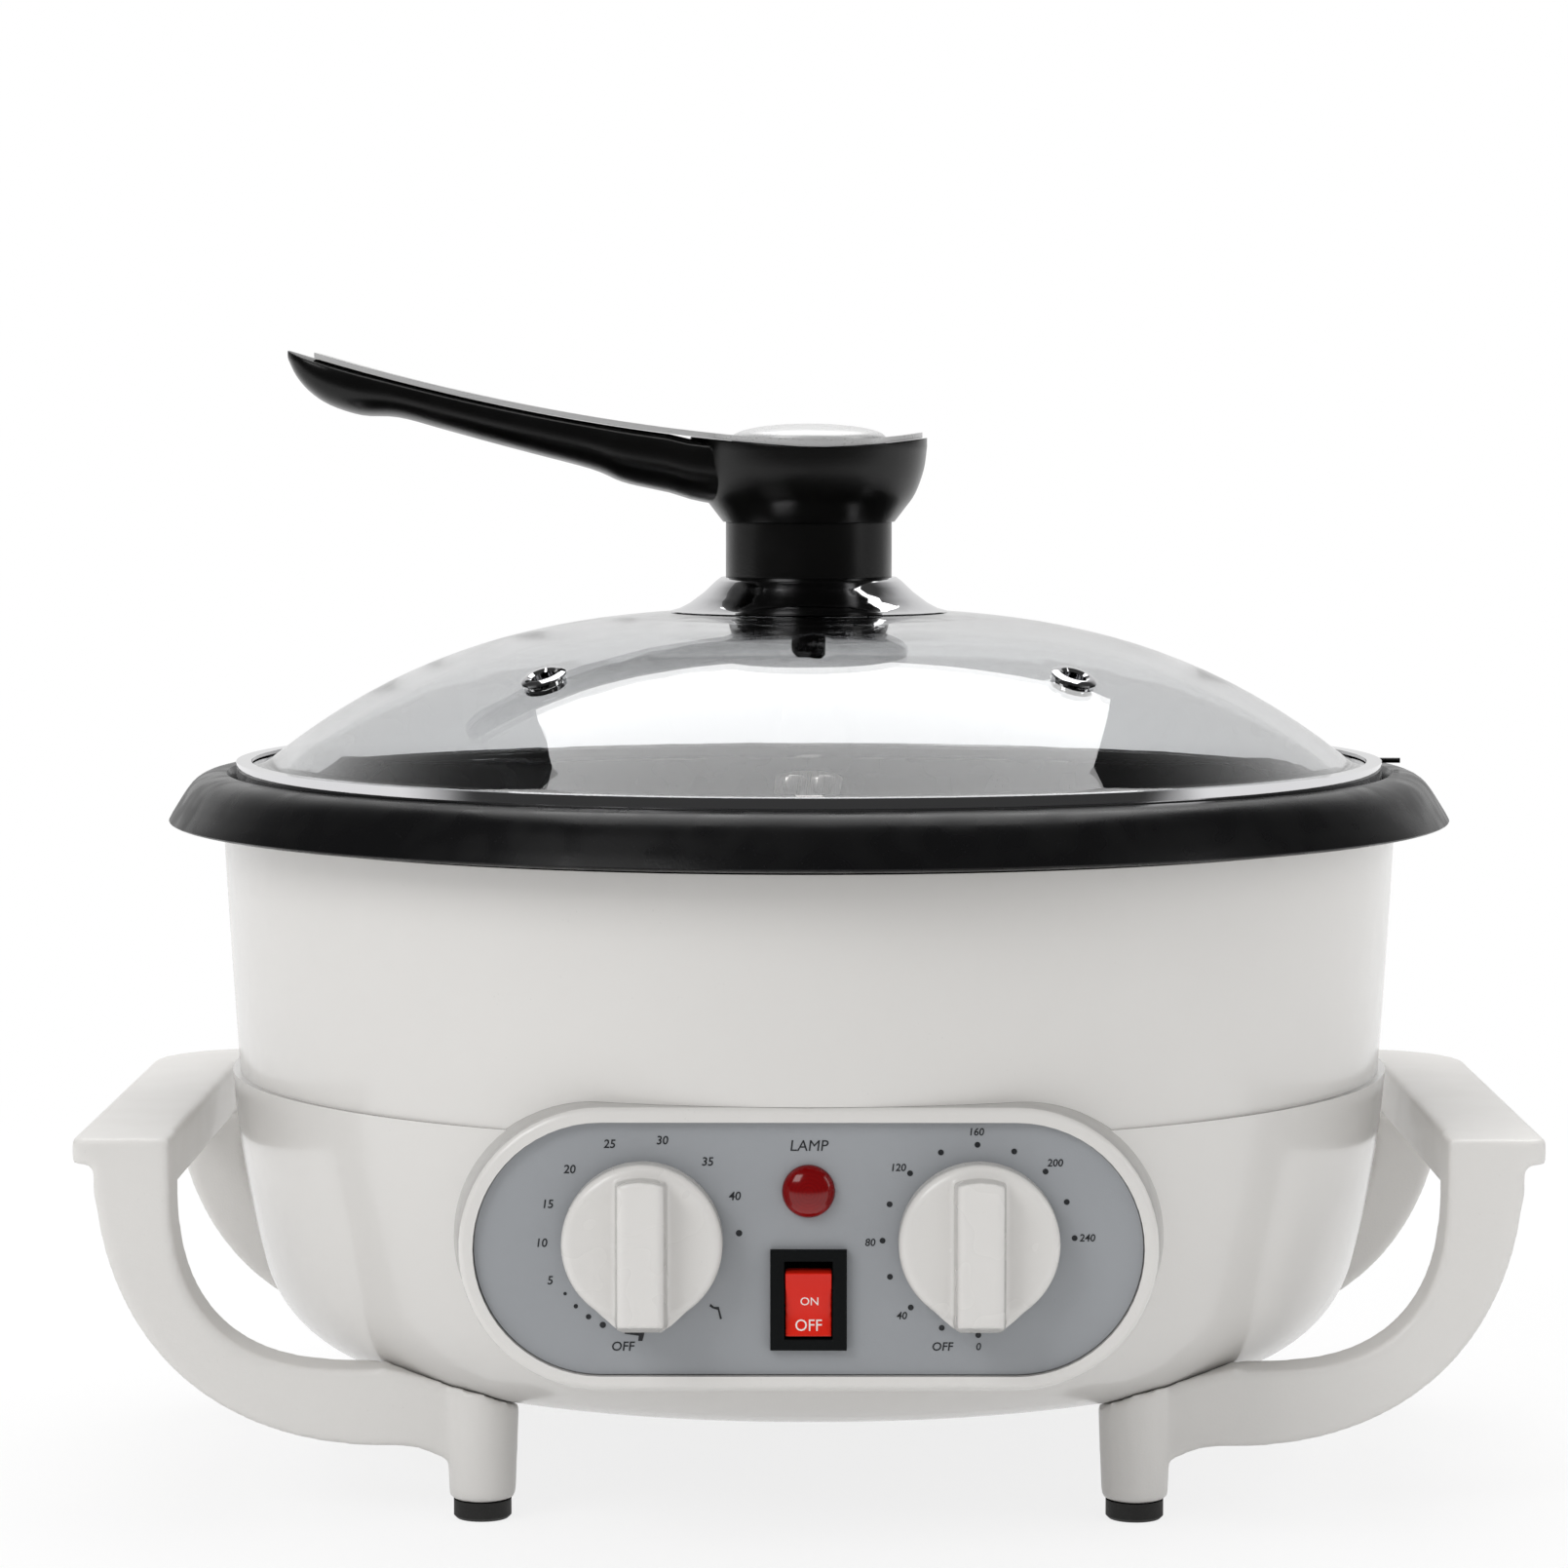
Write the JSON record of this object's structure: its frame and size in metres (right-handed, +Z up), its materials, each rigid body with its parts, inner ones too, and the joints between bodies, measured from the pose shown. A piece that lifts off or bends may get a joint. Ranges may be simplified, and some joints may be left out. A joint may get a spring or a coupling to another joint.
{
  "type": "coffee bean roaster",
  "caption": "Countertop bean roaster: round white housing on side frames with grips, front control pod, black pan with motor-driven wire stirrer, and lift-off glass dome lid with long handle.",
  "frame": {"origin": "on the table under the pan's axis, which is the middle of the bounding box in X and Y", "axes": "+Z up, -Y the front with the controls, +X the right-hand side seen from the front"},
  "size_m": [0.2944, 0.272, 0.2349],
  "materials": {
    "white_plastic": "moulded white plastic, softly glossy",
    "black_plastic": "black plastic with a fine satin grain",
    "steel": "plain stainless or plated steel",
    "foot_rubber": "black rubber",
    "panel_grey": "grey satin fascia with printed scales",
    "lamp_red": "deep red translucent lens",
    "rocker_red": "red rocker with white words",
    "nonstick_black": "black non-stick coating on aluminium",
    "hub_grey": "dark grey heat-proof moulding",
    "lid_glass": "clear tempered glass",
    "chrome": "polished chrome",
    "brass": "brass",
    "satin_silver": "satin silver"
  },
  "bodies": {
    "base": {"lower_housing": "white_plastic", "upper_housing": "white_plastic", "base_plate": "white_plastic", "base_screws": "steel", "left_side_frame": "white_plastic", "right_side_frame": "white_plastic", "frame_screws": "steel", "rubber_feet": "foot_rubber", "control_panel": "panel_grey", "indicator_lens": "lamp_red", "indicator_body": "black_plastic", "switch_bezel": "black_plastic", "timer_body": "steel", "thermostat_body": "black_plastic", "roasting_pan": "nonstick_black", "front_scraper": "steel", "rear_scraper": "steel", "scraper_rivets": "steel", "heating_ring": "steel", "heater_clamps": "steel", "heat_shield": "steel", "thermal_cutoff": "steel", "tie_rods": "steel", "motor_can": "steel", "motor_gearbox": "hub_grey", "motor_bracket": "steel", "motor_screws": "steel", "cord_bushing": "black_plastic"},
    "lid": {"glass_dome": "lid_glass", "lid_band": "chrome", "lid_pin": "black_plastic", "vent_eyelets": "chrome", "handle_flange": "chrome", "handle_gasket": "foot_rubber", "handle_washer": "chrome", "handle_screw": "black_plastic", "handle_insert": "brass", "handle_neck": "black_plastic", "lid_handle": "black_plastic", "handle_inlay": "satin_silver", "handle_cap": "satin_silver"},
    "stirrer": {"motor_shaft": "steel", "shaft_coupling": "black_plastic", "drive_spindle": "steel", "stirrer_hub": "hub_grey", "hub_nut": "hub_grey", "stirrer_wires": "steel"},
    "timer_dial": {"timer_shaft": "steel", "timer_knob": "white_plastic"},
    "thermostat_dial": {"thermostat_shaft": "steel", "thermostat_knob": "white_plastic"},
    "rocker": {"switch_rocker": "rocker_red"}
  },
  "joints": [
    {"name": "lid_lift", "type": "slide", "parent": "base", "child": "lid", "axis": [0, 0, 1], "range_m": [0, 0.15]},
    {"name": "timer_turn", "type": "hinge", "parent": "base", "child": "timer_dial", "pos_m": [-0.0316, -0.121, 0.0639], "axis": [0, 1, 0], "range_deg": [0, 265]},
    {"name": "thermostat_turn", "type": "hinge", "parent": "base", "child": "thermostat_dial", "pos_m": [0.0324, -0.121, 0.0639], "axis": [0, 1, 0], "range_deg": [0, 268]},
    {"name": "rocker_tilt", "type": "hinge", "parent": "base", "child": "rocker", "pos_m": [0, -0.1188, 0.0525], "axis": [-1, 0, 0], "range_deg": [0, 20]},
    {"name": "stirrer_spin", "type": "hinge", "parent": "base", "child": "stirrer", "pos_m": [0, 0, 0.09], "axis": [0, 0, 1], "continuous": true}
  ]
}
